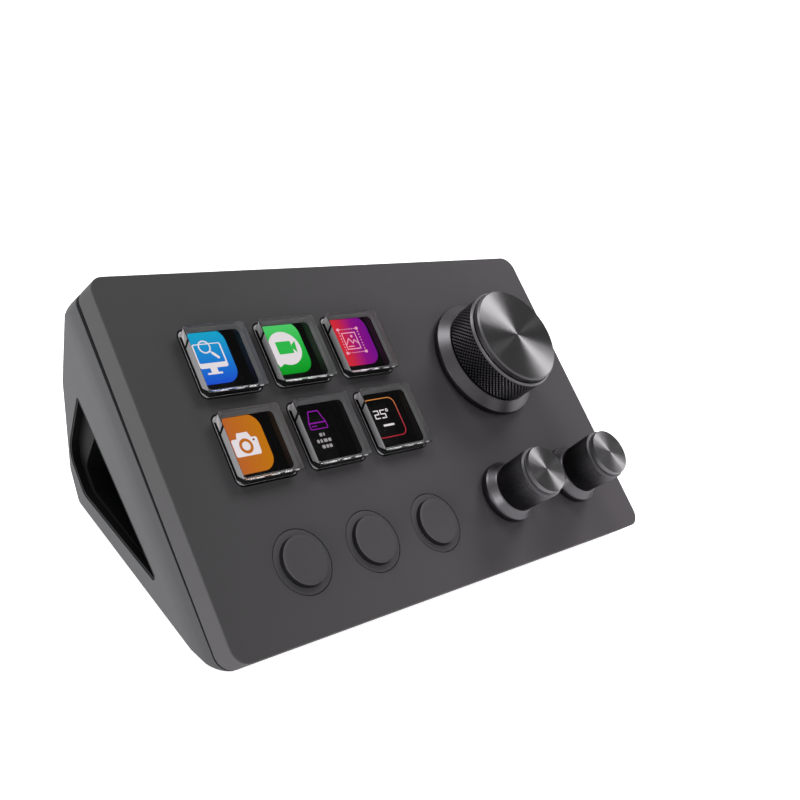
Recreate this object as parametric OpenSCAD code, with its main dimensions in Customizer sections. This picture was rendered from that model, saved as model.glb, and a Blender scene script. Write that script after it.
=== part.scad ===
// Macro keypad with six display keys, three round buttons and three push encoders
// on a sloping face, over a wedge-shaped stand with a side-to-side tunnel.
// The face is built flat in its own frame (x across, y up the slope, z out of
// the face) and then tilted back, so that the stand's base lies on the table.

/* [Face] */
// Width of the face
face_w = 125; // [123:0.5:130]
// Height of the face, measured up the slope
face_h = 76.75; // [76:0.25:78]
// Angle of the face above the table
tilt = 30; // [30:1:30]
// Corner radius of the face
corner_r = 3.4; // [2.5:0.1:4.5]
// Thickness of the face plate
plate_t = 1.5; // [1.2:0.1:1.5]
// Depth of the front shell's side walls
rim_d = 5.1; // [5:0.1:5.3]
// Bevel round the edge of the face
edge_bevel = 0.15; // [0.1:0.05:0.6]
// Lean of the rim up the slope with depth, in degrees
rim_lean = 4; // [2:1:5]

/* [Display keys] */
// Width of a clear key cap
key_w = 14.4; // [13.8:0.1:14.6]
// Distance between key centres
key_pitch = 18.3; // [18.2:0.1:18.6]
// Height of a key cap above the face
key_h = 2.5; // [1.5:0.1:3]
// Clearance round a key cap in the face
key_gap = 0.4; // [0.2:0.05:0.4]
// Travel of a key
key_travel = 0.8; // [0.4:0.1:0.8]
// Height of the upper row up the slope
key_row_top = 56.6; // [56:0.1:57]
// Sideways place of the middle column
key_col_mid = -22.4; // [-23:0.1:-22]

/* [Round buttons] */
// Radius of a button
btn_r = 6.45; // [6:0.05:6.5]
// Clearance round a button in the face
btn_gap = 0.15; // [0.1:0.05:0.3]
// Radius of the raised centre of a button
btn_top_r = 4.95; // [4.5:0.05:5.2]
// Height of the raised centre
btn_top_h = 1.3; // [0.8:0.1:2]
// Height of the button row up the slope
btn_row = 14.3; // [14:0.1:15]

/* [Knobs] */
// Sideways place of the large knob
big_x = 32.0; // [31:0.1:33]
// Height of the large knob up the slope
big_y = 48.4; // [47:0.1:50]
// Radius of the large knob's skirt
big_skirt_r = 14.5; // [13.5:0.1:15]
// Radius of the large knob's grip
big_grip_r = 12.4; // [12.1:0.1:12.8]
// Sideways place of the left small knob
small_x1 = 19.3; // [19:0.1:20]
// Sideways place of the right small knob
small_x2 = 43.5; // [43:0.1:44.5]
// Height of the small knobs up the slope
small_y = 16.0; // [15.5:0.1:17]
// Radius of a small knob's skirt
small_skirt_r = 7.0; // [6.6:0.1:7.2]
// Radius of a small knob's grip
small_grip_r = 5.85; // [5.6:0.05:6]

/* [Stand] */
// Wall thickness of the rear shell
wall = 1.6; // [1.4:0.1:1.6]
// Inward lean of the stand's side faces, in degrees
side_taper = 5; // [3:1:5]
// Height that the rubber feet stand proud of the base
foot_h = 0.8; // [0.5:0.1:1]
// Radius of a rubber foot
foot_r = 4.5; // [4:0.5:5]

/* [Hidden] */

shell_c = "#4a4a4c";
knob_c = "#2c2b2d";

// depths along the face normal (0 is the front surface of the face)
mat_top = -3.3;
lcd_top = -3.7;
lcd_bot = -5.5;
frame_bot = -7.0;
board_top = -8.0;
board_bot = -9.6;
seat_z = -10.5;

key_x = [for (c = [-1:1]) key_col_mid + c * key_pitch];
key_y = [key_row_top, key_row_top - key_pitch];
pad_mid = [key_col_mid, key_row_top - key_pitch / 2];
board_fix = [[-55.5, 22], [-55.5, 58], [8.6, 20.5], [12.5, 62.5], [55.3, 33]];
case_x = 55.9;
case_fix = [[-case_x, 11], [case_x, 11], [-case_x, 68.4], [case_x, 68.4]];
encoders = [[big_x, big_y], [small_x1, small_y], [small_x2, small_y]];

// side profile of the stand, as [up the slope, out of the face]
base_e = [7.06, -11.56];
base_d = [45.0, -33.46];
function rim_top(n) = [face_h - n * tan(rim_lean) - 0.03, n];
stand_pts = [[0.42, -5.5], rim_top(-6.35), rim_top(-9), [66.25, -21.96],
             [51.8, -32.0], base_d, base_e];
stand_rad = [0, 0, 3.5, 2.5, 3.5, 1.6, 2.5];
// mouth of the tunnel in each side face, and the smaller passage behind it
mouth_pts = [[61.35, -18.3], [54.85, -30.25], [45.17, -30.41], [18.98, -14.11]];
mouth_rad = [0.65, 6, 5, 0.85];
pass_pts = [[53.6, -19.2], [50.4, -28.4], [44.6, -28.4], [22.3, -15.5]];
pass_rad = [1.2, 2.2, 2.2, 1.2];

// where the tilted face sits over the table
base_drop = -(base_e[0] * sin(tilt) + base_e[1] * cos(tilt));
z_off = base_drop + foot_h;
y_off = -35.63;

// ---------- helpers ----------
module on_face() translate([0, y_off, z_off]) rotate([tilt, 0, 0]) children();
module at(p, z = 0) translate([p[0], p[1], z]) children();

function turn(a) = a > 180 ? a - 360 : (a < -180 ? a + 360 : a);
function arc_at(a, b, c, r, n) =
    let (u = (a - b) / norm(a - b), w = (c - b) / norm(c - b),
         half = acos(u * w) / 2,
         p = b + u * r / tan(half), q = b + w * r / tan(half),
         m = b + (u + w) / norm(u + w) * r / sin(half),
         s = atan2(p[1] - m[1], p[0] - m[0]),
         e = atan2(q[1] - m[1], q[0] - m[0]))
    [for (i = [0:n]) m + r * [cos(s + turn(e - s) * i / n), sin(s + turn(e - s) * i / n)]];
function rounded(p, r, n = 8) =
    let (k = len(p))
    [for (i = [0:k - 1]) each (r[i] == 0 ? [p[i]]
        : arc_at(p[(i + k - 1) % k], p[i], p[(i + 1) % k], r[i], n))];

module rrect(w, h, r) {
    square([w - 2 * r, h], center = true);
    square([w, h - 2 * r], center = true);
    for (x = [-1, 1], y = [-1, 1])
        translate([x * (w / 2 - r), y * (h / 2 - r)]) circle(r = r, $fn = 48);
}
// outline of the face, shrunk by t
module outline(t = 0) translate([0, face_h / 2])
    rrect(face_w - 2 * t, face_h - 2 * t, max(corner_r - t, 0.6));
// prism on that outline, leaning up the slope as it goes down
module rim_prism(t) rotate([rim_lean, 0, 0]) translate([0, 0, -50]) linear_extrude(60)
    translate([0, face_h * cos(rim_lean) / 2])
        rrect(face_w - 2 * t, face_h * cos(rim_lean) - 2 * t, max(corner_r - t, 0.6));
module along_x(l) translate([-l / 2, 0, 0]) rotate([90, 0, 90]) linear_extrude(l) children();
module plate(z0, z1) translate([0, 0, z0]) linear_extrude(z1 - z0) children();
module disc(r, z0, z1, fn = 64) translate([0, 0, z0]) cylinder(r = r, h = z1 - z0, $fn = fn);
module lathe(p, fn = 96) rotate_extrude($fn = fn) polygon(p);
module each_key() for (y = key_y, x = key_x) translate([x, y, 0]) children();
module each_button() for (x = key_x) translate([x, btn_row, 0]) children();
function key_pos(i) = [key_x[(i - 1) % 3], key_y[floor((i - 1) / 3)]];

// ---------- front shell: face plate with its rim ----------
module front_shell() color(shell_c) on_face() {
    difference() {
        hull() {
            plate(-rim_d, -rim_d + 0.1) translate([0, rim_d * tan(rim_lean)]) outline();
            plate(-edge_bevel - 0.1, -edge_bevel) translate([0, edge_bevel * tan(rim_lean)]) outline();
            plate(-0.1, 0) outline(edge_bevel);
        }
        plate(-rim_d - 1, -plate_t) outline(2);
        each_key() plate(-2, 1) rrect(key_w + 2 * key_gap, key_w + 2 * key_gap, 1.7);
        each_button() disc(btn_r + btn_gap, -2, 1, 96);
        for (e = encoders) at(e) disc(3.65, -2, 1);
    }
    // screw posts for the rear shell and for the board
    for (p = case_fix) at(p) difference() {
        disc(3.1, -8.0, -plate_t);
        disc(1.3, -9, -2.8);
    }
    for (p = board_fix) at(p) difference() {
        disc(2.5, board_top, -plate_t);
        disc(1.05, -9, -2.8);
    }
}

// ---------- rear shell: the wedge-shaped stand ----------
module lean(t) {
    h = face_w / 2 - t;
    k = tan(side_taper);
    pts = concat(rounded([[h, 2], [h, -7.9], [h - 40 * k, -47.9]], [0, 14, 0], 10),
                 rounded([[-h + 40 * k, -47.9], [-h, -7.9], [-h, 2]], [0, 14, 0], 10));
    rotate([-1.05, 0, 0]) translate([0, 90, 0]) rotate([90, 0, 0]) linear_extrude(110) polygon(pts);
}
module stand_solid(t) intersection() {
    along_x(face_w + 4) offset(delta = -t) polygon(rounded(stand_pts, stand_rad));
    lean(t);
    rim_prism(t);
}
module rear_shell() color(shell_c) on_face() difference() {
    union() {
        difference() {
            stand_solid(0);
            stand_solid(wall);
            // the front is open inside the rim
            plate(-7.3, 2) outline(3.4);
            plate(-8.25, 2) intersection() {
                outline(3.4);
                translate([-70, 12]) square([140, 80]);
            }
        }
        // tongue that locates the front shell
        plate(-6.6, -3.4) difference() { outline(2.15); outline(3.4); }
        // posts for the case screws
        intersection() {
            for (p = case_fix) at(p) disc(3.4, -30, -8.1);
            stand_solid(0.4);
        }
    }
    for (p = case_fix) at(p) {
        disc(1.5, -40, 0);
        disc(2.6, -40, seat_z);
    }
    along_x(face_w + 10) polygon(rounded(mouth_pts, mouth_rad));
    // socket slot in the upper slope
    plate(-13.2, -9.35) translate([0, 73]) square([9.7, 14], center = true);
    feet_at() disc(foot_r + 0.1, -1, foot_h, 64);
}

// black tube and end plates that line the tunnel
module tunnel_liner() color("#101011") on_face() difference() {
    union() {
        along_x(114) offset(delta = 0.9) polygon(rounded(pass_pts, pass_rad));
        for (s = [-1, 1]) intersection() {
            translate([s * 59, 0, 0]) along_x(5) offset(delta = 1.4) polygon(rounded(mouth_pts, mouth_rad));
            stand_solid(wall + 0.05);
        }
        // lip through the thickness of the side wall
        for (s = [-1, 1]) intersection() {
            translate([s * 59.5, 0, 0]) along_x(6.4) difference() {
                offset(delta = -0.04) polygon(rounded(mouth_pts, mouth_rad));
                offset(delta = -0.6) polygon(rounded(mouth_pts, mouth_rad));
            }
            stand_solid(0.12);
        }
    }
    along_x(face_w + 4) polygon(rounded(pass_pts, pass_rad));
    for (p = case_fix) at(p) disc(3.6, -40, 0);
}

// the base runs level: feet are placed in the table's own frame
base_y = base_e[0] * cos(tilt) - base_e[1] * sin(tilt) + y_off;
module feet_at() rotate([-tilt, 0, 0]) translate([0, -y_off, -z_off])
    for (p = [[-40, base_y + 7], [40, base_y + 7], [-48, base_y + 36.5], [48, base_y + 36.5]])
        translate([p[0], p[1], foot_h]) children();
module rubber_feet() color("#1b1b1b")
    for (p = [[-40, base_y + 7], [40, base_y + 7], [-48, base_y + 36.5], [48, base_y + 36.5]])
        translate([p[0], p[1], 0]) cylinder(r = foot_r, h = 2 * foot_h, $fn = 64);

// ---------- display stack ----------
module key_guide() color("#1c1c1e") on_face() plate(mat_top, -plate_t) difference() {
    at(pad_mid) rrect(3 * key_pitch + 1.9, 2 * key_pitch + 1.9, 1);
    each_key() rrect(17.2, 17.2, 1.6);
}
module key_mat() color("#232325") on_face() plate(lcd_top, mat_top) difference() {
    at(pad_mid) rrect(3 * key_pitch + 1.9, 2 * key_pitch + 1.9, 1);
    each_key() translate([0, 0.3]) rrect(15.4, 15.4, 1.2);
}
module lcd_panel() color("#050506") on_face() plate(lcd_bot, lcd_top)
    at(pad_mid) square([3 * key_pitch + 1.5, 2 * key_pitch + 1.5], center = true);
module lcd_frame() color("#1c1c1e") on_face() difference() {
    union() {
        plate(frame_bot, -2.4) at(pad_mid) rrect(3 * key_pitch + 5.1, 2 * key_pitch + 5.1, 1.5);
        for (x = [-1, 1], y = [-1, 1])
            at(pad_mid + [x * 26, y * 16.5]) disc(1.6, board_top, frame_bot);
    }
    plate(lcd_bot, 0) at(pad_mid) rrect(3 * key_pitch + 2.1, 2 * key_pitch + 2.1, 1);
    at(pad_mid + [0, -20], -5.3) linear_extrude(0.6) square([19, 8], center = true);
}
module lcd_ribbon() color("#b5651d") on_face() translate([key_col_mid, 0, 0])
    along_x(18) polygon([[28.4, -4.9], [25.0, -4.9], [24.2, -5.7], [24.2, -6.8],
                         [24.4, -6.8], [24.4, -5.8], [25.1, -5.1], [28.4, -5.1]]);
module ribbon_socket() color("#d8d3c4") on_face() translate([key_col_mid, 24.3, 0])
    plate(board_top, -6.8) square([21, 3.4], center = true);

// ---------- board and what it carries ----------
module main_board() color("#1d5b38") on_face() plate(board_bot, board_top) difference() {
    translate([0, 39.7]) rrect(116.6, 63.4, 2);
    for (p = case_fix) at(p) circle(r = 4.1, $fn = 48);
    for (p = board_fix) at(p) circle(r = 1.2, $fn = 48);
}
module controller_chip() color("#111113") on_face() at([14, 44]) plate(board_bot - 1, board_bot)
    square([8, 8], center = true);
module usb_socket() color("#b9babd") on_face() difference() {
    plate(-12.8, board_bot) translate([0, 68.7]) square([8.9, 7.6], center = true);
    plate(-12.5, -9.9) translate([0, 70.7]) square([8.3, 7.6], center = true);
}
module button_switches() color("#2a2a2c") on_face() each_button() difference() {
    plate(board_top, -4.5) square([6, 6], center = true);
    disc(1.75, -6.2, 0);
}
module screw(z, r, l, hr, hh) {
    disc(r, z, z + l, 32);
    difference() {
        disc(hr, z - hh, z, 32);
        for (a = [0, 90]) rotate(a) translate([-hr * 0.6, -0.25, z - hh - 1]) cube([hr * 1.2, 0.5, 1.6]);
    }
}
module case_screws() color("#8f9094") on_face() for (p = case_fix) at(p) screw(seat_z, 1.25, 7.4, 2.3, 1.5);
module board_screws() color("#8f9094") on_face() for (p = board_fix) at(p) screw(board_bot, 1.0, 6.0, 1.8, 1.2);

// ---------- encoders ----------
module encoder_housing(p) color("#9a9b9e") on_face() at(p) difference() {
    union() {
        plate(board_top, -2.1) square([12, 12], center = true);
        disc(3.5, -2.1, 0.1);
    }
    disc(5.1, -7.5, -4.2);
    disc(3.05, -8 + 0.3, 2);
}
module encoder_rotor(p) color("#d9d4c6") on_face() at(p) difference() {
    disc(5.04, -5.8, -4.5);
    intersection() {
        disc(3.05, -7, 0);
        translate([-4, -4, -7]) cube([8, 6.05, 7]);
    }
}
// shaft with a flat along its driven length
module knob_shaft(p, top) color("#8f9094") on_face() at(p) difference() {
    disc(3.0, -6.6, top);
    translate([-4, 2, -7]) cube([8, 4, 4.4]);
    translate([-4, 1.5, 3]) cube([8, 4, 20]);
}

// ---------- knobs: core on the shaft, skirt, grip sleeve and top cap ----------
// z heights: skirt foot, skirt shoulder, grip foot, grip top, chamfer ring top, top face
big_z = [0.65, 2.3, 4.3, 11.2, 12.1, 13.7];
small_z = [0.65, 2.4, 4.4, 12.7, 13.1, 14.3];
module knob_core(p, r, z) color("#1a1a1b") on_face() at(p) difference() {
    disc(r, z[2], z[4]);
    intersection() {
        disc(3.0, 0, z[4] - 0.8);
        translate([-4, -4, 0]) cube([8, 5.5, z[4] - 0.8]);
    }
}
module knob_skirt(p, sr, gr, z) color("#58575a") on_face() at(p)
    lathe([[3.9, z[0]], [sr - 0.25, z[0]], [sr, z[0] + 0.25], [sr, z[1]],
           [gr + 0.1, z[2]], [3.9, z[2]]]);
module knob_grip(p, cr, gr, rr, z) color(knob_c) on_face() at(p)
    lathe([[cr, z[2]], [gr - 0.35, z[2]], [gr, z[2] + 0.35], [gr, z[3]], [rr, z[4]], [cr, z[4]]]);
module knob_cap(p, r, tr, zs, z) color("#3d3c3f") on_face() at(p)
    lathe([[0, z[4]], [r, z[4]], [r, zs], [tr, z[5]], [0, z[5]]]);

// ---------- keys and buttons ----------
module key_cap(i) color("#c9ccd0", 0.5) on_face() at(key_pos(i)) union() {
    hull() {
        plate(0, key_h - 0.15) rrect(key_w, key_w, 1.2);
        plate(key_h - 0.15, key_h) rrect(key_w - 0.3, key_w - 0.3, 1.05);
    }
    // plug that drops into the frame under it
    plate(-0.4, 0) rrect(12.3, 12.3, 1);
}
// frame that carries a cap, with the flange that holds it under the face
module key_carrier(i) color("#2b2b2d") on_face() at(key_pos(i)) difference() {
    union() {
        plate(-1.7, 0) rrect(key_w, key_w, 1.2);
        plate(-2.4, -1.7) rrect(16.6, 16.6, 1.3);
    }
    plate(-0.42, 1) rrect(12.36, 12.36, 1.03);
    plate(-3, -0.42) rrect(13.6, 13.6, 1);
    plate(-3, -1.7) translate([0, 0.35]) rrect(13.6, 13.9, 1);
}
module button_cap(i) color(shell_c) on_face() at([key_x[i - 1], btn_row])
    lathe([[0, -3.5], [1.5, -3.5], [1.5, -2.4], [7.3, -2.4], [7.3, -1.7], [btn_r, -1.7],
           [btn_r, -0.12], [btn_r - 0.12, 0], [btn_top_r + 0.3, 0], [btn_top_r + 0.12, btn_top_h - 0.4],
           [btn_top_r - 0.25, btn_top_h], [0, btn_top_h]], 128);
module switch_plunger(i) color("#d9d4c6") on_face() at([key_x[i - 1], btn_row]) disc(1.7, -5.2, -3.5);

front_shell();
rear_shell();
tunnel_liner();
rubber_feet();
key_guide();
key_mat();
lcd_panel();
lcd_frame();
lcd_ribbon();
ribbon_socket();
main_board();
controller_chip();
usb_socket();
button_switches();
case_screws();
board_screws();
encoder_housing(encoders[0]);  // encoder_housing_large
encoder_housing(encoders[1]);  // encoder_housing_left
encoder_housing(encoders[2]);  // encoder_housing_right
key_cap(1);  // key_cap_1
key_cap(2);  // key_cap_2
key_cap(3);  // key_cap_3
key_cap(4);  // key_cap_4
key_cap(5);  // key_cap_5
key_cap(6);  // key_cap_6
key_carrier(1);  // key_carrier_1
key_carrier(2);  // key_carrier_2
key_carrier(3);  // key_carrier_3
key_carrier(4);  // key_carrier_4
key_carrier(5);  // key_carrier_5
key_carrier(6);  // key_carrier_6
button_cap(1);  // button_cap_1
button_cap(2);  // button_cap_2
button_cap(3);  // button_cap_3
switch_plunger(1);  // switch_plunger_1
switch_plunger(2);  // switch_plunger_2
switch_plunger(3);  // switch_plunger_3
encoder_rotor(encoders[0]);  // encoder_rotor_large
encoder_rotor(encoders[1]);  // encoder_rotor_left
encoder_rotor(encoders[2]);  // encoder_rotor_right
knob_shaft(encoders[0], 11.0);  // knob_shaft_large
knob_shaft(encoders[1], 12.2);  // knob_shaft_left
knob_shaft(encoders[2], 12.2);  // knob_shaft_right
knob_core(encoders[0], big_grip_r - 2.4, big_z);  // knob_core_large
knob_core(encoders[1], 4.2, small_z);  // knob_core_left
knob_core(encoders[2], 4.2, small_z);  // knob_core_right
knob_skirt(encoders[0], big_skirt_r, big_grip_r, big_z);  // knob_skirt_large
knob_skirt(encoders[1], small_skirt_r, small_grip_r, small_z);  // knob_skirt_left
knob_skirt(encoders[2], small_skirt_r, small_grip_r, small_z);  // knob_skirt_right
knob_grip(encoders[0], big_grip_r - 2.4, big_grip_r, 11.8, big_z);  // knob_grip_large
knob_grip(encoders[1], 4.2, small_grip_r, 5.45, small_z);  // knob_grip_left
knob_grip(encoders[2], 4.2, small_grip_r, 5.45, small_z);  // knob_grip_right
knob_cap(encoders[0], 11.75, 11.4, 13.3, big_z);  // knob_cap_large
knob_cap(encoders[1], 5.42, 5.25, 13.35, small_z);  // knob_cap_left
knob_cap(encoders[2], 5.42, 5.25, 13.35, small_z);  // knob_cap_right
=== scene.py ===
import math

import bpy
from mathutils import Matrix, Vector
from mathutils.geometry import tessellate_polygon


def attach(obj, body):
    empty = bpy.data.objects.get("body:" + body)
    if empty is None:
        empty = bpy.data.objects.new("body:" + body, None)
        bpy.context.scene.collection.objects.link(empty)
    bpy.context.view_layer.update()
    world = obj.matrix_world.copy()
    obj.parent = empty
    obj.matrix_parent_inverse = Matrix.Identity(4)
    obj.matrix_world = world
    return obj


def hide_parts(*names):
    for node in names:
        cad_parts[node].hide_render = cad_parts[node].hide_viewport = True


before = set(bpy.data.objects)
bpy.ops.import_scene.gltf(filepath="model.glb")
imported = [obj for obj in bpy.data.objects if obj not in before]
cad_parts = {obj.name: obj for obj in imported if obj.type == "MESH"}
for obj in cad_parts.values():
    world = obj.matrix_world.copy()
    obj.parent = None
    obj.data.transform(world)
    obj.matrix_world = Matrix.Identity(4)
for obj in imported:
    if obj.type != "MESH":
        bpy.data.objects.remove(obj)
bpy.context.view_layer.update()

MM = 0.001

# ---------------------------------------------------------------- the face's own frame
# x across, y up the slope, z out of the face; in millimetres, as in the CAD source
TILT = math.radians(30)
Y_OFF, Z_OFF = -35.63, 7.281254
FACE = Matrix.Translation((0, Y_OFF * MM, Z_OFF * MM)) @ Matrix.Rotation(TILT, 4, "X")
KEY_X = [-40.7, -22.4, -4.1]
KEY_Y = [56.6, 38.3]
BTN_Y = 14.3
KNOBS = {"large": (32.0, 48.4), "left": (19.3, 16.0), "right": (43.5, 16.0)}


def on_face(x, y, z=0.0):
    return FACE @ Matrix.Translation((x * MM, y * MM, z * MM))


# ---------------------------------------------------------------- camera
CAM_R = [
    Vector((0.6944024, -0.3993905, 0.59857542)),
    Vector((-0.11950697, -0.88428837, -0.45138914)),
    Vector((0.70959382, 0.24191176, -0.66178191)),
]
CAM_AT = Vector((-170.47057584, -129.71457255, 137.97159137)) * MM


def make_camera():
    data = bpy.data.cameras.new("camera")
    data.lens = 50
    data.sensor_width = 36
    data.clip_start = 0.01
    data.clip_end = 10
    cam = bpy.data.objects.new("camera", data)
    bpy.context.scene.collection.objects.link(cam)
    turn = FACE.to_3x3()
    ax, ay, az = turn @ CAM_R[0], -(turn @ CAM_R[1]), -(turn @ CAM_R[2])
    rot = Matrix((ax, ay, az)).transposed()
    cam.matrix_world = Matrix.Translation(CAM_AT) @ rot.to_4x4()
    bpy.context.scene.camera = cam
    return cam


make_camera()


# ---------------------------------------------------------------- materials
def lin(c):
    """sRGB hex or 0-255 triple to linear rgba"""
    if isinstance(c, str):
        c = [int(c[i : i + 2], 16) for i in (1, 3, 5)]
    out = []
    for v in c:
        v /= 255
        out.append(v / 12.92 if v <= 0.04045 else ((v + 0.055) / 1.055) ** 2.4)
    return (*out, 1)


def new_mat(name, **sockets):
    m = bpy.data.materials.new(name)
    m.use_nodes = True
    b = m.node_tree.nodes["Principled BSDF"]
    for k, v in sockets.items():
        b.inputs[k.replace("_", " ")].default_value = v
    return m, m.node_tree, b


def grain(tree, shader, scale, strength, distance=0.00005, rough=None, coord="Object"):
    """fine moulded or blasted grain, as a bump on the surface"""
    tc = tree.nodes.new("ShaderNodeTexCoord")
    n = tree.nodes.new("ShaderNodeTexNoise")
    n.inputs["Scale"].default_value = scale
    n.inputs["Detail"].default_value = 3
    tree.links.new(tc.outputs[coord], n.inputs["Vector"])
    b = tree.nodes.new("ShaderNodeBump")
    b.inputs["Strength"].default_value = strength
    b.inputs["Distance"].default_value = distance
    tree.links.new(n.outputs["Fac"], b.inputs["Height"])
    tree.links.new(b.outputs["Normal"], shader.inputs["Normal"])
    if rough:
        r = tree.nodes.new("ShaderNodeMapRange")
        r.inputs["To Min"].default_value = rough[0]
        r.inputs["To Max"].default_value = rough[1]
        big = tree.nodes.new("ShaderNodeTexNoise")
        big.inputs["Scale"].default_value = scale / 12
        big.inputs["Detail"].default_value = 4
        tree.links.new(tc.outputs[coord], big.inputs["Vector"])
        tree.links.new(big.outputs["Fac"], r.inputs["Value"])
        tree.links.new(r.outputs["Result"], shader.inputs["Roughness"])
    return n


def plastic(name, colour, rough, grain_scale=5000, strength=0.12, spec=0.5):
    m, t, b = new_mat(name, Base_Color=lin(colour), Roughness=rough, Specular_IOR_Level=spec)
    if strength:
        grain(t, b, grain_scale, strength, rough=(rough - 0.03, rough + 0.03))
    return m


def by_depth(m, t, b, stops, rough=None):
    """base colour that follows the depth under the face: stops = [(mm, colour), ...]"""
    tc = t.nodes.new("ShaderNodeTexCoord")
    dot = t.nodes.new("ShaderNodeVectorMath")
    dot.operation = "DOT_PRODUCT"
    dot.inputs[1].default_value = (0, -math.sin(TILT), math.cos(TILT))
    t.links.new(tc.outputs["Object"], dot.inputs[0])
    zero = (-Y_OFF * math.sin(TILT) + Z_OFF * math.cos(TILT)) * MM
    lo, hi = stops[0][0], stops[-1][0]
    mr = t.nodes.new("ShaderNodeMapRange")
    mr.inputs["From Min"].default_value = zero + lo * MM
    mr.inputs["From Max"].default_value = zero + hi * MM
    t.links.new(dot.outputs["Value"], mr.inputs["Value"])
    ramp = t.nodes.new("ShaderNodeValToRGB")
    el = ramp.color_ramp.elements
    while len(el) > 1:
        el.remove(el[-1])
    el[0].position, el[0].color = 0.0, lin(stops[0][1])
    for h, c in stops[1:]:
        e = el.new((h - lo) / (hi - lo))
        e.color = lin(c)
    t.links.new(mr.outputs["Result"], ramp.inputs["Fac"])
    t.links.new(ramp.outputs["Color"], b.inputs["Base Color"])
    return m


M = {}
m, t, b = new_mat("shell_satin", Roughness=0.68, Specular_IOR_Level=0.25)
grain(t, b, 4200, 0.1, rough=(0.65, 0.71))
# painted light and shade: the base colour runs from darker at the upper left of the face to lighter at the lower right
tc = t.nodes.new("ShaderNodeTexCoord")
dot = t.nodes.new("ShaderNodeVectorMath")
dot.operation = "DOT_PRODUCT"
dot.inputs[1].default_value = (0.83, -0.48, -0.28)
t.links.new(tc.outputs["Object"], dot.inputs[0])
mr = t.nodes.new("ShaderNodeMapRange")
mr.inputs["From Min"].default_value = -0.06
mr.inputs["From Max"].default_value = 0.06
t.links.new(dot.outputs["Value"], mr.inputs["Value"])
ramp = t.nodes.new("ShaderNodeValToRGB")
ramp.color_ramp.elements[0].color = lin("#3c3b3c")
ramp.color_ramp.elements[1].color = lin("#585458")
t.links.new(mr.outputs["Result"], ramp.inputs["Fac"])
t.links.new(ramp.outputs["Color"], b.inputs["Base Color"])
M["shell"] = m
# painted shade: the stand's collar under the rim is painted a little darker than its broad sides, set by depth under
# the face
m, t, b = new_mat("stand_satin", Roughness=0.6, Specular_IOR_Level=0.3)
by_depth(m, t, b, [(-12.5, "#454547"), (-9.5, "#3c3c3e"), (-5.0, "#343436")])
grain(t, b, 4200, 0.1, rough=(0.57, 0.63))
M["stand"] = m
m, t, b = new_mat("carrier_plastic", Roughness=0.45, Specular_IOR_Level=0.4)
by_depth(m, t, b, [(-0.3, "#060607"), (-0.06, "#060607"), (-0.02, "#a4a4a6")])
M["carrier"] = m
M["cap_side"] = plastic("cap_side_satin", "#848385", 0.35, 3000, 0.0)
# painted shade: the cap's clear front wall is painted near black
M["cap_front"] = plastic("cap_front_dark", "#0c0c0d", 0.3, 3000, 0.0, 0.25)
# painted glints: bright pieces along the cap's front top edge
M["cap_glint"] = plastic("cap_edge_painted_glint", "#c6c6c8", 0.25, 3000, 0.0)
M["cap_dim"] = plastic("cap_wall_frost", "#8c8c8e", 0.4, 3000, 0.0)
# painted highlight on the back-left corner facets
M["cap_facet"] = plastic("cap_corner_painted_highlight", "#a8a3a5", 0.3, 3000, 0.0)
# black foot and painted shade: the cap's black foot, contact shade at its left and front foot, and dark patches by the
# back-left corner
M["cap_foot"] = plastic("cap_black_foot_and_painted_shade", "#040405", 0.5, 3000, 0.0, 0.12)
M["black_plastic"] = plastic("black_plastic", "#060607", 0.55, 4000, 0.08, 0.15)
# painted shade: the button neck material is near black, standing for the shade under the raised disc
M["button_neck"] = plastic("button_neck", "#141314", 0.6, 4000, 0.05, 0.15)
M["foot_rubber"] = plastic("foot_rubber", "#161616", 0.85, 2500, 0.3)
M["silicone"] = plastic("silicone_mat", "#08080a", 0.7, 2500, 0.15, 0.2)
M["ribbon_film"] = plastic("ribbon_film", "#8a4a12", 0.35, 3000, 0.02)
M["ivory_plastic"] = plastic("ivory_plastic", "#c9c2b0", 0.45, 3000, 0.05)
M["board"] = plastic("board_mask", "#123f26", 0.35, 2500, 0.05)
M["chip_plastic"] = plastic("chip_plastic", "#121214", 0.5, 3500, 0.1)


def metal(name, colour, rough, aniso=0.0, turned=False, strength=0.0):
    m, t, b = new_mat(name, Base_Color=lin(colour), Metallic=1.0, Roughness=rough)
    if aniso:
        # grooves run round the axis, so the shine spreads along the radius
        b.inputs["Anisotropic"].default_value = aniso
        b.inputs["Anisotropic Rotation"].default_value = 0.25
        tg = t.nodes.new("ShaderNodeTangent")
        tg.direction_type = "RADIAL"
        tg.axis = "Z"
        t.links.new(tg.outputs["Tangent"], b.inputs["Tangent"])
    if turned:
        # fine rings left by the lathe, centred on the piece's own axis
        tc = t.nodes.new("ShaderNodeTexCoord")
        sep = t.nodes.new("ShaderNodeSeparateXYZ")
        t.links.new(tc.outputs["Object"], sep.inputs[0])
        rad = t.nodes.new("ShaderNodeVectorMath")
        rad.operation = "LENGTH"
        flat = t.nodes.new("ShaderNodeCombineXYZ")
        t.links.new(sep.outputs["X"], flat.inputs["X"])
        t.links.new(sep.outputs["Y"], flat.inputs["Y"])
        t.links.new(flat.outputs[0], rad.inputs[0])
        ring = t.nodes.new("ShaderNodeTexNoise")
        ring.noise_dimensions = "1D"
        ring.inputs["Scale"].default_value = 9000
        ring.inputs["Detail"].default_value = 2
        t.links.new(rad.outputs["Value"], ring.inputs["W"])
        mr = t.nodes.new("ShaderNodeMapRange")
        mr.inputs["To Min"].default_value = rough - 0.05
        mr.inputs["To Max"].default_value = rough + 0.06
        t.links.new(ring.outputs["Fac"], mr.inputs["Value"])
        t.links.new(mr.outputs["Result"], b.inputs["Roughness"])
    elif strength:
        grain(t, b, 9000, strength, 0.00002)
    return m


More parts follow.
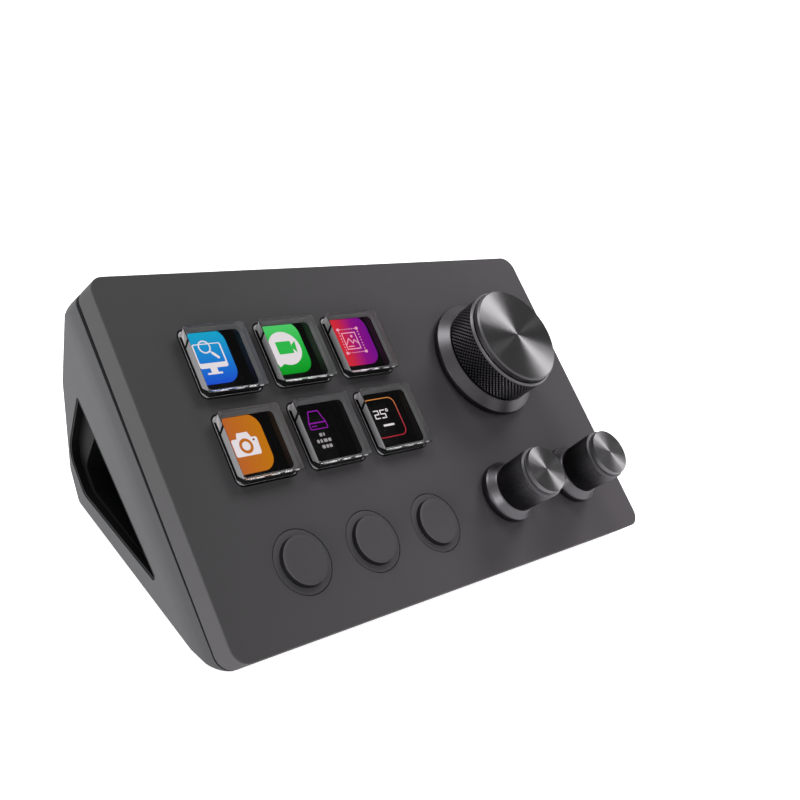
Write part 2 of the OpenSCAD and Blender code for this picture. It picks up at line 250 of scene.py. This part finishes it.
M["steel"] = metal("steel", "#a9abae", 0.3, strength=0.05)
M["knob_top_metal"] = metal("knob_top_metal", "#807e80", 0.38, aniso=1.0, turned=True)
M["knob_edge_metal"] = metal("knob_edge_metal", "#656366", 0.42)
M["knob_skirt_metal"] = metal("knob_skirt_metal", "#5b595c", 0.38, aniso=0.3)
M["knob_grip_metal"] = metal("knob_grip_metal", "#403e41", 0.36)


def knurl_metal(name, r0, r1, pit, crest, rough):
    """dark anodised knurl, with painted shade in its pits and lighter crests: colour by distance from the axis"""
    m, t, b = new_mat(name, Metallic=1.0, Roughness=rough)
    tc = t.nodes.new("ShaderNodeTexCoord")
    flat = t.nodes.new("ShaderNodeVectorMath")
    flat.operation = "MULTIPLY"
    flat.inputs[1].default_value = (1, 1, 0)
    t.links.new(tc.outputs["Object"], flat.inputs[0])
    rad = t.nodes.new("ShaderNodeVectorMath")
    rad.operation = "LENGTH"
    t.links.new(flat.outputs[0], rad.inputs[0])
    mr = t.nodes.new("ShaderNodeMapRange")
    mr.inputs["From Min"].default_value = r0 * MM
    mr.inputs["From Max"].default_value = r1 * MM
    t.links.new(rad.outputs["Value"], mr.inputs["Value"])
    ramp = t.nodes.new("ShaderNodeValToRGB")
    el = ramp.color_ramp.elements
    el[0].position, el[0].color = 0.0, lin(pit)
    el[1].position, el[1].color = 1.0, lin(crest)
    t.links.new(mr.outputs["Result"], ramp.inputs["Fac"])
    t.links.new(ramp.outputs["Color"], b.inputs["Base Color"])
    return m


# painted shade: the knurls are darker towards the bottom of their pits and grooves
M["knurl_large"] = knurl_metal("knurl_large", 12.0, 12.36, "#0c0b0c", "#3c3a3d", 0.4)
M["knurl_small"] = knurl_metal("knurl_small", 5.6, 5.82, "#2c2a2d", "#5a585b", 0.4)

m, t, b = new_mat("display_glass", Base_Color=lin("#020203"), Roughness=0.12, Specular_IOR_Level=0.5)
M["display"] = m

m, t, b = new_mat("clear_acrylic", Base_Color=(1, 1, 1, 1), Roughness=0.0, IOR=1.49, Transmission_Weight=1.0)
M["clear_acrylic"] = m


def glow(name, colour, strength=1.0):
    m, t, b = new_mat(name, Base_Color=(0, 0, 0, 1), Roughness=0.4, Emission_Color=lin(colour), Emission_Strength=strength)
    b.inputs["Specular IOR Level"].default_value = 0.0
    return m


def glow_ramp(name, stops, axis, lo, hi, strength=1.0):
    """a lit field whose colour runs along x or y of the piece, between lo and hi millimetres"""
    m, t, b = new_mat(name, Base_Color=(0, 0, 0, 1), Roughness=0.4, Emission_Strength=strength)
    b.inputs["Specular IOR Level"].default_value = 0.0
    tc = t.nodes.new("ShaderNodeTexCoord")
    sep = t.nodes.new("ShaderNodeSeparateXYZ")
    t.links.new(tc.outputs["Object"], sep.inputs[0])
    mr = t.nodes.new("ShaderNodeMapRange")
    mr.inputs["From Min"].default_value = lo * MM
    mr.inputs["From Max"].default_value = hi * MM
    t.links.new(sep.outputs[axis], mr.inputs["Value"])
    ramp = t.nodes.new("ShaderNodeValToRGB")
    el = ramp.color_ramp.elements
    while len(el) > 1:
        el.remove(el[-1])
    el[0].position, el[0].color = stops[0][0], lin(stops[0][1])
    for p, c in stops[1:]:
        e = el.new(p)
        e.color = lin(c)
    t.links.new(mr.outputs["Result"], ramp.inputs["Fac"])
    t.links.new(ramp.outputs["Color"], b.inputs["Emission Color"])
    return m


# ---------------------------------------------------------------- mesh helpers
def add(name, verts, faces, mat, body, place=None, smooth=True, replaces=()):
    """a piece in millimetres in its own frame, set at place"""
    me = bpy.data.meshes.new(name)
    me.from_pydata([Vector(v) * MM for v in verts], [], faces)
    me.update()
    if smooth:
        me.polygons.foreach_set("use_smooth", [True] * len(me.polygons))
    for one in mat if isinstance(mat, list) else [mat]:
        me.materials.append(one)
    o = bpy.data.objects.new(name, me)
    bpy.context.scene.collection.objects.link(o)
    o.matrix_world = place if place is not None else FACE
    if replaces:
        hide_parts(*replaces)
    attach(o, body)
    return o


def lathe(profile, n, shape=None):
    """closed ring profile [(r, z), ...] swept round z; shape(i, j, r, z, angle) may move a point"""
    verts, faces, k = [], [], len(profile)
    for i in range(n):
        a = 2 * math.pi * i / n
        c, s = math.cos(a), math.sin(a)
        for j, (r, z) in enumerate(profile):
            if shape:
                r, z = shape(i, j, r, z, a)
            verts.append((r * c, r * s, z))
    for i in range(n):
        p, q = i * k, ((i + 1) % n) * k
        for j in range(k):
            l = (j + 1) % k
            faces.append((p + j, q + j, q + l, p + l))
    return verts, faces


def lathe_solid(profile, n):
    """open profile from the axis to the axis: first and last points have r = 0"""
    verts, faces, k = [(0, 0, profile[0][1])], [], len(profile) - 2
    ring = profile[1:-1]
    for i in range(n):
        a = 2 * math.pi * i / n
        for r, z in ring:
            verts.append((r * math.cos(a), r * math.sin(a), z))
    verts.append((0, 0, profile[-1][1]))
    last = len(verts) - 1
    for i in range(n):
        p, q = 1 + i * k, 1 + ((i + 1) % n) * k
        faces.append((0, q, p))
        for j in range(k - 1):
            faces.append((p + j, q + j, q + j + 1, p + j + 1))
        faces.append((p + k - 1, q + k - 1, last))
    return verts, faces


def sharpen(o, degrees=35):
    o.data.set_sharp_from_angle(angle=math.radians(degrees))
    return o


def fill(shapes, z0, z1, step=0.0):
    """flat solids from 2-D outlines; shapes is a list of (outer, [holes])"""
    verts, faces = [], []
    for s, (outer, holes) in enumerate(shapes):
        loops = [outer] + list(holes)
        flat = [p for l in loops for p in l]
        tris = tessellate_polygon([[Vector((x, y, 0)) for x, y in l] for l in loops])
        base = len(verts)
        zz1 = z1 + s * step
        verts += [(x, y, zz1) for x, y in flat]
        verts += [(x, y, z0) for x, y in flat]
        n = len(flat)
        for a, b, c in tris:
            (ax, ay), (bx, by), (cx, cy) = flat[a], flat[b], flat[c]
            if (bx - ax) * (cy - ay) - (by - ay) * (cx - ax) < 0:
                b, c = c, b
            faces.append((base + a, base + b, base + c))
            faces.append((base + n + a, base + n + c, base + n + b))
        at = 0
        for li, l in enumerate(loops):
            area = sum(l[i - 1][0] * l[i][1] - l[i][0] * l[i - 1][1] for i in range(len(l)))
            flip = (area < 0) != (li > 0)
            for i in range(len(l)):
                p, q = at + i, at + (i + 1) % len(l)
                f = (base + p, base + n + p, base + n + q, base + q)
                faces.append(f if not flip else f[::-1])
            at += len(l)
    return verts, faces


def rrect(cx, cy, w, h, r, n=8):
    r = min(r, w / 2, h / 2)
    out = []
    for sx, sy, a0 in ((1, 1, 0), (-1, 1, 90), (-1, -1, 180), (1, -1, 270)):
        for i in range(n + 1):
            a = math.radians(a0 + 90 * i / n)
            out.append((cx + sx * (w / 2 - r) + r * math.cos(a), cy + sy * (h / 2 - r) + r * math.sin(a)))
    return out


def disc(cx, cy, rx, ry=None, n=40):
    ry = rx if ry is None else ry
    return [(cx + rx * math.cos(2 * math.pi * i / n), cy + ry * math.sin(2 * math.pi * i / n)) for i in range(n)]


def bar(x0, y0, x1, y1, w, n=6):
    """a line with round ends"""
    a = math.atan2(y1 - y0, x1 - x0)
    out = []
    for (x, y), s in (((x1, y1), -90), ((x0, y0), 90)):
        for i in range(n + 1):
            b = a + math.radians(s + 180 * i / n)
            out.append((x + w / 2 * math.cos(b), y + w / 2 * math.sin(b)))
    return out


# ---------------------------------------------------------------- finishes on the CAD nodes
FINISH = {
    "front_shell": "shell", "rear_shell": "stand", "tunnel_liner": "black_plastic",
    "rubber_feet": "foot_rubber", "key_guide": "black_plastic", "key_mat": "silicone",
    "lcd_panel": "display", "lcd_frame": "black_plastic", "lcd_ribbon": "ribbon_film",
    "ribbon_socket": "ivory_plastic", "main_board": "board", "controller_chip": "chip_plastic",
    "usb_socket": "steel", "button_switches": "chip_plastic", "case_screws": "steel",
    "board_screws": "steel",
}
for e in KNOBS:
    FINISH["encoder_housing_" + e] = "steel"
    FINISH["encoder_rotor_" + e] = "ivory_plastic"
    FINISH["knob_shaft_" + e] = "steel"
    FINISH["knob_core_" + e] = "black_plastic"
    FINISH["knob_skirt_" + e] = "knob_skirt_metal"
    FINISH["knob_grip_" + e] = "knob_grip_metal"
    FINISH["knob_cap_" + e] = "knob_top_metal"
for i in range(1, 7):
    FINISH["key_cap_%d" % i] = "clear_acrylic"
    FINISH["key_carrier_%d" % i] = "carrier"
for i in range(1, 4):
    FINISH["button_cap_%d" % i] = "shell"
    FINISH["switch_plunger_%d" % i] = "ivory_plastic"
for name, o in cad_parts.items():
    mat = M[FINISH[name]]
    if not o.material_slots:
        o.data.materials.append(None)
    for s in o.material_slots:
        s.link = "OBJECT"
        s.material = mat


# ---------------------------------------------------------------- knobs
def paint(o, test):
    """second material on the faces whose middle passes test(radius, z) in millimetres"""
    for f in o.data.polygons:
        c = f.center / MM
        if test(math.hypot(c.x, c.y), c.z, f.normal):
            f.material_index = 1
    return o


def knurled_grip(name, kind, body, place, cr, gr, fr, z0, z1, zg, rr, teeth, pitch, depth):
    """grip sleeve with its cut knurl (pitch = axial size of a diamond, 0 for straight ribs) and a chamfer ring"""
    lo, hi = z0 + 0.08, z1 - 0.1
    steps = round((hi - lo) / pitch * 6) if pitch else 40
    prof = [(cr, z0), (fr - 0.06, z0), (fr - 0.02, z0 + 0.04)]
    zone = len(prof)
    for j in range(steps + 1):
        prof.append((gr, lo + (hi - lo) * j / steps))
    prof += [(gr - 0.1, hi + 0.02), (gr, hi + 0.06), (gr, z1)]
    prof += [(gr - 0.05, z1 + 0.04), (rr + 0.04, zg - 0.03), (rr - 0.02, zg), (cr, zg)]
    n = teeth * 6

    def tri(x):
        x = x % 1.0
        return abs(2 * x - 1)

    def shape(i, j, r, z, a):
        k = j - zone
        if 0 <= k <= steps:
            # the sleeve widens a little from its foot
            base = fr + (gr - fr) * min(1.0, 1.25 * k / steps)
            edge = min(1.0, min(k, steps - k) / 2.0)
            u = i / n * teeth
            if pitch:
                v = k / 6.0
                cut = max(tri(u + v), tri(u - v))
                cut = max(0.0, (cut - 0.3) / 0.7)
            else:
                cut = tri(u) ** 1.3
            r = base - 0.02 - depth * (cut * edge + (1 - edge) * 0.6)
        return r, z

    v, f = lathe(prof, n, shape)
    skin = M["knurl_large"] if pitch else M["knurl_small"]
    o = add(name, v, f, [skin, M["knob_edge_metal"]], body, place, True, ["knob_grip_" + kind])
    return sharpen(paint(o, lambda r, z, nn: z > hi + 0.05 and r > rr), 28)


def turned_cap(name, kind, body, place, r, tr, zb, zs, zt):
    """top with a straight side, an edge chamfer and a spun face"""
    prof = [(0, zb), (r - 0.12, zb), (r, zb + 0.12), (r, zs - 0.04), (r - 0.05, zs), (tr + 0.05, zt - 0.03), (tr, zt),
            (tr * 0.8, zt), (tr * 0.6, zt), (tr * 0.4, zt), (tr * 0.2, zt), (tr * 0.08, zt), (0.25, zt), (0, zt - 0.01)]
    v, f = lathe_solid(prof, 192)
    side = M["knob_skirt_metal"] if kind == "large" else M["knob_edge_metal"]
    o = add(name, v, f, [M["knob_top_metal"], side, M["knob_edge_metal"]], body, place, True, ["knob_cap_" + kind])
    paint(o, lambda q, z, nn: q > tr - 0.05 and abs(nn.z) < 0.98)
    for p in o.data.polygons:
        if p.material_index == 1 and p.center.z / MM > zs - 0.03:
            p.material_index = 2
    return sharpen(o, 25)


def turned_skirt(name, kind, body, place, sr, gr, z):
    prof = [(3.9, z[0]), (sr - 0.4, z[0]), (sr - 0.12, z[0] + 0.12), (sr, z[0] + 0.4), (sr, z[1] - 0.12), (sr - 0.06, z[1] + 0.03),
            (sr - 0.2, z[1] + 0.16)]
    # satin cone up to the grip, rolled under at its inner edge
    a, b = (sr - 0.2, z[1] + 0.16), (gr + 0.16, z[2] - 0.05)
    for k in range(1, 7):
        t = k / 6
        prof.append((a[0] + (b[0] - a[0]) * t, a[1] + (b[1] - a[1]) * t))
    prof += [(gr + 0.1, z[2]), (gr - 0.3, z[2]), (3.9, z[2])]
    v, f = lathe(prof, 192)
    o = add(name, v, f, [M["knob_skirt_metal"], M["knob_grip_metal"]], body, place, True, ["knob_skirt_" + kind])
    # painted shade: the skirt's upright side and its inner edge by the grip take the dark grip metal
    return sharpen(paint(o, lambda q, zz, nn: zz < z[1] + 0.02 or q < gr + 0.12), 25)


BIG_Z = [0.65, 2.3, 4.3, 11.2, 12.1, 13.7]
SMALL_Z = [0.65, 2.4, 4.4, 12.7, 13.1, 14.3]
for kind, (kx, ky) in KNOBS.items():
    place = on_face(kx, ky)
    body = "knob_" + kind
    if kind == "large":
        turned_skirt("skirt_large", kind, body, place, 14.5, 12.3, BIG_Z)
        knurled_grip("grip_large", kind, body, place, 10.0, 12.4, 12.3, BIG_Z[2], BIG_Z[3] + 0.35, BIG_Z[4], 12.0, 80, 1.1, 0.36)
        turned_cap("top_large", kind, body, place, 11.75, 11.4, BIG_Z[4], 13.3, BIG_Z[5])
    else:
        turned_skirt("skirt_" + kind, kind, body, place, 7.0, 5.55, SMALL_Z)
        knurled_grip("grip_" + kind, kind, body, place, 4.2, 5.85, 5.5, SMALL_Z[2], SMALL_Z[3], SMALL_Z[4], 5.45, 84, 0, 0.13)
        turned_cap("top_" + kind, kind, body, place, 5.42, 5.25, SMALL_Z[4], 13.35, SMALL_Z[5])


# ---------------------------------------------------------------- clear key caps
FRONT_CUTS = [0.05, 0.13, 0.17, 0.31, 0.42, 0.45, 0.58, 0.64, 0.67, 0.8, 0.86, 0.93]
SIDE_CUTS = [0.17, 0.225]


def clear_cap(i, x, y):
    """a polished block on a plug: frosted side walls, a black foot line that is partly painted contact shade, corners
    cut in long facets; painted glints, highlights and shade on the front edge, front wall and back-left corner
    """
    w, zt = 14.4, 2.5
    # inset, height, corner size, extra set-back of the front edge
    levels = [(1.05, -0.4, 0.5, 0), (1.05, 0.03, 0.5, 0), (0.08, 0.03, 1.15, 0), (0.0, 0.11, 1.2, 0), (0.0, 0.85, 1.7, 0),
              (0.0, zt - 0.21, 0.4, 0), (0.02, zt - 0.05, 0.34, 0.15), (0.06, zt, 0.3, 0.19)]
    nf, ns = len(FRONT_CUTS), len(SIDE_CUTS)
    verts, faces, kinds = [], [], []
    for inset, z, r, back in levels:
        q = rrect(0, 0, w - 2 * inset, w - 2 * inset, r, 1)
        q = [(px, py + back if py < 0 else py) for px, py in q]
        # points 2..3 turn the left back corner, 4..5 the left front one
        left = [(q[3][0] + (q[4][0] - q[3][0]) * c, q[3][1] + (q[4][1] - q[3][1]) * c) for c in SIDE_CUTS]
        front = [(q[5][0] + (q[6][0] - q[5][0]) * c, q[5][1] + (q[6][1] - q[5][1]) * c) for c in FRONT_CUTS]
        q = q[:4] + left + q[4:6] + front + q[6:]
        verts += [(px, py, z) for px, py in q]
    count = 8 + nf + ns
    wall_l = range(3, 4 + ns)
    corner_lf = 4 + ns
    wall_f = range(5 + ns, 6 + ns + nf)
    CLEAR, SIDE, FOOT_AND_SHADE, GLINT, DIM, FACET, FRONT = range(7)
    for l in range(len(levels) - 1):
        for k in range(count):
            a, b = l * count + k, l * count + (k + 1) % count
            quad = (a, b, b + count, a + count)
            # the plug wall is black; the foot band on the left and front is black as the cap's foot and as painted
            # contact shade where it meets the shell
            if l == 0 or (l == 3 and 3 <= k < wall_f[-1] + 1):
                kind = FOOT_AND_SHADE
            elif l == 3 or (l == 2 and not 2 <= k <= wall_f[-1]):
                kind = DIM
            elif l == 4:
                # painted highlight: the back-left corner facet is light
                if k == 2:
                    kind = FACET
                elif k == 3:
                    # two bright triangles where the wall meets the corner: a painted highlight and the frosted wall
                    faces += [(a, b, a + count), (b, b + count, a + count)]
                    kinds += [FACET, SIDE]
                    continue
                # painted shade: a black patch up the left wall beside the back corner
                elif k == 4:
                    kind = FOOT_AND_SHADE
                elif k in wall_l:
                    kind = SIDE
                # painted shade: the front wall and its corner are near black in place of the dark inside seen through
                # the clear front
                elif k == corner_lf:
                    kind = FRONT
                elif k in wall_f:
                    kind = FRONT
                else:
                    kind = DIM
            # painted shade: black patches on the upper left wall beside the back corner
            elif l >= 5 and (k in wall_l):
                kind = CLEAR if l == 6 else (SIDE if k > 4 else FOOT_AND_SHADE)
            # front edge band: painted glints broken by frosted grey and near-black pieces, standing for the edge's
            # reflections
            elif l == 5 and k in wall_f:
                j = k - wall_f[0]
                kind = GLINT if j in (3, 6, 9, 11) else (SIDE if j in (1, 2, 5) else FRONT)
            elif l == 6 and k in wall_f:
                kind = CLEAR
            elif l == 5 and k in (count - 1, 0, 1):
                kind = DIM
            # painted highlight on the upper back-left corner
            elif l == 5 and k == 2:
                kind = FACET
            else:
                kind = CLEAR
            faces.append(quad)
            kinds.append(kind)
    faces.append(tuple(range(count))[::-1])
    faces.append(tuple(range((len(levels) - 1) * count, len(levels) * count)))
    kinds += [CLEAR, CLEAR]
    mats = [M["clear_acrylic"]] + [M["cap_" + k] for k in ("side", "foot", "glint", "dim", "facet", "front")]
    o = add("clear_cap_%d" % i, verts, faces, mats, "key_%d" % i, on_face(x, y), False, ["key_cap_%d" % i])
    for f, kind in zip(o.data.polygons, kinds):
        f.material_index = kind
    return o


key_at = [(x, y) for y in KEY_Y for x in KEY_X]
for i, (x, y) in enumerate(key_at, 1):
    clear_cap(i, x, y)

# ---------------------------------------------------------------- what the display shows
LCD = -3.7
WHITE = glow("icon_white", "#e9e2e6")
# middle of each tile or outline, from its key's middle
ICONS = [(-0.86, 2.44), (0.19, 2.44), (1.59, 2.29), (-0.81, 1.54), (0.34, 0.19), (1.29, 1.59)]
TILE_W, TILE_H = 11.9, 12.1


def tile(i, mat, x, y):
    v, f = fill([(rrect(0, 0, TILE_W, TILE_H, 3.1, 10), [])], 0.0, 0.02)
    return add("display_tile_%d" % i, v, f, mat, "housing", on_face(x, y, LCD), False)


def sign(name, shapes, mat, x, y, z0=0.02):
    v, f = fill(shapes, z0, z0 + 0.02, 0.004)
    return add(name, v, f, mat, "housing", on_face(x, y, LCD), False)


def ring(outer, hole):
    return (outer, [hole])


def icon_centre(i):
    (x, y), (dx, dy) = key_at[i - 1], ICONS[i - 1]
    return x + dx, y + dy


# 1: search on a screen
x, y = icon_centre(1)
tile(1, glow_ramp("tile_blue", [(0.0, "#1a4fd0"), (0.45, "#1a7fd2"), (1.0, "#14aacb")], "Y", -6, 6), x, y)
sign("icon_screen", [
    ring(rrect(0.92, 0.15, 6.86, 5.4, 0.5), rrect(0.92, 0.6, 6.2, 4.1, 0.3)),
    (rrect(0.6, -3.0, 1.6, 1.1, 0.1), []),
    (rrect(0.55, -3.75, 3.6, 0.4, 0.2), []),
], WHITE, x, y)
sign("icon_lens", [
    ring(disc(0.35, 2.1, 1.45), disc(0.35, 2.1, 1.15)),
    (bar(1.3, 1.05, 1.7, 0.65, 0.3), []),
    (bar(1.75, 0.6, 2.75, -0.4, 0.6), []),
], WHITE, x, y, 0.03)

# 2: speech bubble with a plain camera shape
x, y = icon_centre(2)
tile(2, glow_ramp("tile_green", [(0.0, "#05981f"), (0.5, "#22b741"), (1.0, "#55d26e")], "Y", -6, 6), x, y)
sign("icon_bubble", [
    (disc(0.65, -0.15, 4.1, 3.9, 56), []),
    ([(-3.3, -1.3), (-0.8, -3.4), (-2.6, -4.3), (-3.0, -3.4)], []),
], WHITE, x, y)
sign("icon_video", [
    (rrect(0.5, 0.0, 4.0, 2.9, 0.3), []),
    ([(2.5, -0.35), (3.35, -1.4), (3.75, 1.3), (2.6, 0.55)], []),
], glow("icon_green", "#2dbb4a"), x, y, 0.05)

# 3: picture in a marked frame
x, y = icon_centre(3)
tile(3, glow_ramp("tile_purple", [(0.0, "#e22f26"), (0.35, "#cc2440"), (0.66, "#8d0a84"), (1.0, "#74068c")], "X", -6, 6), x, y)
PINK = glow("icon_pink", "#f3a6c4")
marks = []
for k in range(7):
    t = -2.1 + 0.7 * k
    marks += [(rrect(t, 2.9, 0.32, 0.18, 0.05), []), (rrect(t, -2.9, 0.32, 0.18, 0.05), []),
              (rrect(2.8, t, 0.18, 0.32, 0.05), []), (rrect(-2.8, t, 0.18, 0.32, 0.05), [])]
sign("icon_marks", marks + [(disc(sx * 2.8, sy * 2.9, 0.36, None, 16), []) for sx in (-1, 1) for sy in (-1, 1)], PINK, x, y)
sign("icon_picture", [
    ring(rrect(-0.2, 0, 4.1, 4.2, 0.1), rrect(-0.2, 0, 3.65, 3.75, 0.05)),
    (disc(0.4, 1.1, 0.32, None, 18), []),
    (bar(-1.9, -0.8, -0.8, 0.6, 0.22), []), (bar(-0.8, 0.6, 0.1, -0.6, 0.22), []),
    (bar(0.1, -0.6, 0.7, 0.2, 0.22), []), (bar(0.7, 0.2, 1.6, -0.7, 0.22), []),
    (rrect(-0.8, -1.35, 1.7, 0.22, 0.08), []),
], PINK, x, y, 0.024)

# 4: camera
x, y = icon_centre(4)
tile(4, glow_ramp("tile_orange", [(0.0, "#b8583a"), (0.5, "#bf6a20"), (1.0, "#c47608")], "X", -6, 6), x, y)
body = [(-2.3, -2.2), (-2.0, -2.5), (3.4, -2.5), (3.7, -2.2), (3.9, 0.9), (3.6, 1.2), (2.6, 1.2), (2.1, 2.4), (-0.5, 2.4), (-0.9, 1.2), (-2.0, 1.2), (-2.3, 0.9)]
sign("icon_camera", [ring(body, disc(0.75, -0.45, 1.6, None, 40))], WHITE, x, y)
sign("icon_aperture", [(disc(0.75, -0.45, 0.95, None, 32), [])], WHITE, x, y)
sign("icon_dot", [(disc(2.95, 0.6, 0.25, None, 14), [])], glow("icon_brown", "#7a4412"), x, y, 0.045)

# 5: drive with plain lines under it
x, y = icon_centre(5)
VIOLET = glow("icon_violet", "#9a18b4")
sign("icon_drive", [
    ring([(-1.85, 3.0), (-0.9, 5.7), (1.85, 5.7), (2.85, 3.0)], [(-1.62, 3.12), (-0.77, 5.5), (1.73, 5.5), (2.62, 3.12)]),
    ring(rrect(0.5, 2.3, 4.7, 1.5, 0.25), rrect(0.5, 2.3, 4.36, 1.18, 0.15)),
    (disc(-1.1, 2.3, 0.16, None, 12), []), (disc(-0.6, 2.3, 0.16, None, 12), []), (disc(-0.1, 2.3, 0.16, None, 12), []),
], VIOLET, x, y)
rows = []
for cy, xs in ((0.3, [(0.1, 0.7), (0.95, 0.35)]), (-1.05, [(-1.2, 0.6), (-0.35, 0.5), (0.75, 0.9), (1.85, 0.75)]), (-2.35, [(-0.35, 0.8), (0.65, 0.6), (1.55, 0.7)])):
    for cx, w in xs:
        rows.append((rrect(cx, cy, w, 0.72, 0.12), []))
sign("icon_rows", rows, glow("icon_grey", "#a39ea0"), x, y)

# 6: a reading inside a rounded outline
x, y = icon_centre(6)
sign("icon_outline", [ring(rrect(0, 0, 9.3, 9.2, 1.7, 10), rrect(0, 0, 8.95, 8.85, 1.55, 10))],
     glow_ramp("outline_pink", [(0.0, "#c2283c"), (0.5, "#d84858"), (1.0, "#e89a4a")], "Y", -5, 5), x, y)


def digit(code, cx, cy, w, h, t):
    """seven short bars"""
    on = {"0": "abcdef", "1": "bc", "2": "abged", "3": "abgcd", "4": "fgbc", "5": "afgcd", "6": "afgedc", "7": "abc", "8": "abcdefg", "9": "abcdfg"}[code]
    a, b = w / 2, h / 2
    seg = {"a": (-a, b, a, b), "b": (a, b, a, 0), "c": (a, 0, a, -b), "d": (-a, -b, a, -b), "e": (-a, -b, -a, 0), "f": (-a, 0, -a, b), "g": (-a, 0, a, 0)}
    return [(bar(cx + s[0], cy + s[1], cx + s[2], cy + s[3], t, 4), []) for s in (seg[c] for c in on)]


sign("icon_reading", digit("2", -2.0, 0.9, 1.25, 1.8, 0.24) + digit("5", -0.1, 0.9, 1.25, 1.8, 0.24)
     + [ring(disc(1.3, 1.65, 0.38, None, 18), disc(1.3, 1.65, 0.2, None, 18)), (rrect(0.2, -1.8, 3.2, 0.45, 0.2), [])], WHITE, x, y)

# ---------------------------------------------------------------- round buttons: flush disc, a neck painted dark as shade under the disc's edge, dished top
BUTTON = [(0, -3.5), (1.5, -3.5), (1.5, -2.4), (7.3, -2.4), (7.3, -1.7), (6.45, -1.7), (6.45, -0.12), (6.42, -0.04),
          (6.34, 0), (5.32, 0), (5.16, 0.02), (5.02, 0.12), (4.98, 0.5), (4.97, 0.88), (4.94, 1.02), (4.85, 1.16),
          (4.7, 1.25), (4.5, 1.29), (4.2, 1.3), (3.0, 1.27), (1.5, 1.24), (0, 1.23)]
for i in range(3):
    verts, faces = lathe_solid(BUTTON, 160)
    spot = on_face(-40.7 + 18.3 * i, 14.3)
    verts = [tuple((spot @ (Vector(q) * MM)) / MM) for q in verts]
    o = add("button_dome_%d" % (i + 1), verts, faces, [M["shell"], M["button_neck"]], "button_%d" % (i + 1),
            Matrix(), True, ["button_cap_%d" % (i + 1)])
    # the neck faces take the near-black material as painted shade under the disc's edge
    for f in o.data.polygons:
        f.material_index = 1 if 10 <= f.index % (len(BUTTON) - 1) <= 13 else 0
    sharpen(o, 35)

# ---------------------------------------------------------------- USB inlet: drawn steel shell with round ends, a tongue inside
outer, inner = rrect(0, 0, 8.9, 3.16, 1.4, 6), rrect(0, 0, 8.3, 2.56, 1.12, 6)
rings = [(outer, 64.95), (outer, 72.35), (rrect(0, 0, 8.7, 2.96, 1.32, 6), 72.5), (inner, 72.35), (inner, 66.9)]
count = len(outer)
verts = [(px, v, -11.2 + pz) for q, v in rings for px, pz in q]
faces = [(l * count + k, (l + 1) * count + k, (l + 1) * count + (k + 1) % count, l * count + (k + 1) % count)
         for l in range(len(rings) - 1) for k in range(count)]
faces += [tuple(range(count)), tuple(range((len(rings) - 1) * count, len(rings) * count))[::-1]]
o = add("usb_receptacle", verts, faces, [M["steel"], M["black_plastic"]], "housing", FACE, False, ["usb_socket"])
for f in o.data.polygons:
    f.material_index = 1 if f.index >= 3 * count and f.index != 4 * count else 0
rings = [(6.6, 0.7, 66.95), (6.6, 0.7, 71.3), (6.2, 0.4, 71.7)]
verts = [(px, v, -11.2 + pz) for w, h, v in rings for px, pz in rrect(0, 0, w, h, h * 0.3, 2)]
count = len(verts) // 3
faces = [(l * count + k, (l + 1) * count + k, (l + 1) * count + (k + 1) % count, l * count + (k + 1) % count)
         for l in range(2) for k in range(count)]
faces += [tuple(range(count)), tuple(range(2 * count, 3 * count))[::-1]]
add("usb_tongue", verts, faces, M["chip_plastic"], "housing", FACE, False)

# ---------------------------------------------------------------- set
def area(name, at, look, size, power, colour=(1, 1, 1), size_y=None):
    d = bpy.data.lights.new(name, "AREA")
    d.energy = power
    d.color = colour
    d.size = size
    if size_y:
        d.shape = "RECTANGLE"
        d.size_y = size_y
    o = bpy.data.objects.new(name, d)
    bpy.context.scene.collection.objects.link(o)
    o.location = at
    o.rotation_mode = "QUATERNION"
    o.rotation_quaternion = (Vector(look) - Vector(at)).to_track_quat("-Z", "Y")
    return o


area("side_low", (-0.75, -0.12, 0.07), (0, 0, 0.03), 0.7, 4.3, size_y=0.12)
area("low_right", (0.95, -0.34, 0.40), (0, 0, 0.04), 0.4, 1.4)
area("high_right", (0.86, 0.30, 1.19), (0.03, 0, 0.04), 0.62, 10.0)
area("high_back", (-0.22, 0.49, 0.87), (0.03, 0, 0.04), 0.36, 3.1)

fm, t, b = new_mat("floor_white", Base_Color=(0.86, 0.86, 0.87, 1), Roughness=0.7, Emission_Color=(1, 1, 1, 1), Emission_Strength=0.85)
b.inputs["Specular IOR Level"].default_value = 0.2
me = bpy.data.meshes.new("floor")
me.from_pydata([(-4, -4, 0), (4, -4, 0), (4, 4, 0), (-4, 4, 0)], [], [(0, 1, 2, 3)])
me.materials.append(fm)
floor = bpy.data.objects.new("floor", me)
bpy.context.scene.collection.objects.link(floor)

world = bpy.data.worlds.new("studio")
world.use_nodes = True
# soft white room, with a dark panel high on the right that the glossy parts mirror
wt = world.node_tree
wb = wt.nodes["Background"]
wb.inputs["Strength"].default_value = 0.7
wc = wt.nodes.new("ShaderNodeTexCoord")
dot = wt.nodes.new("ShaderNodeVectorMath")
dot.operation = "DOT_PRODUCT"
dot.inputs[1].default_value = (0.48, -0.26, 0.838)
wt.links.new(wc.outputs["Generated"], dot.inputs[0])
mr = wt.nodes.new("ShaderNodeMapRange")
mr.inputs["From Min"].default_value = 0.30
mr.inputs["From Max"].default_value = 0.84
mr.inputs["To Min"].default_value = 1.0
mr.inputs["To Max"].default_value = 0.06
wt.links.new(dot.outputs["Value"], mr.inputs["Value"])
wt.links.new(mr.outputs["Result"], wb.inputs["Color"])
bpy.context.scene.world = world
bpy.context.scene.view_settings.view_transform = "Standard"
bpy.context.scene.view_settings.look = "None"
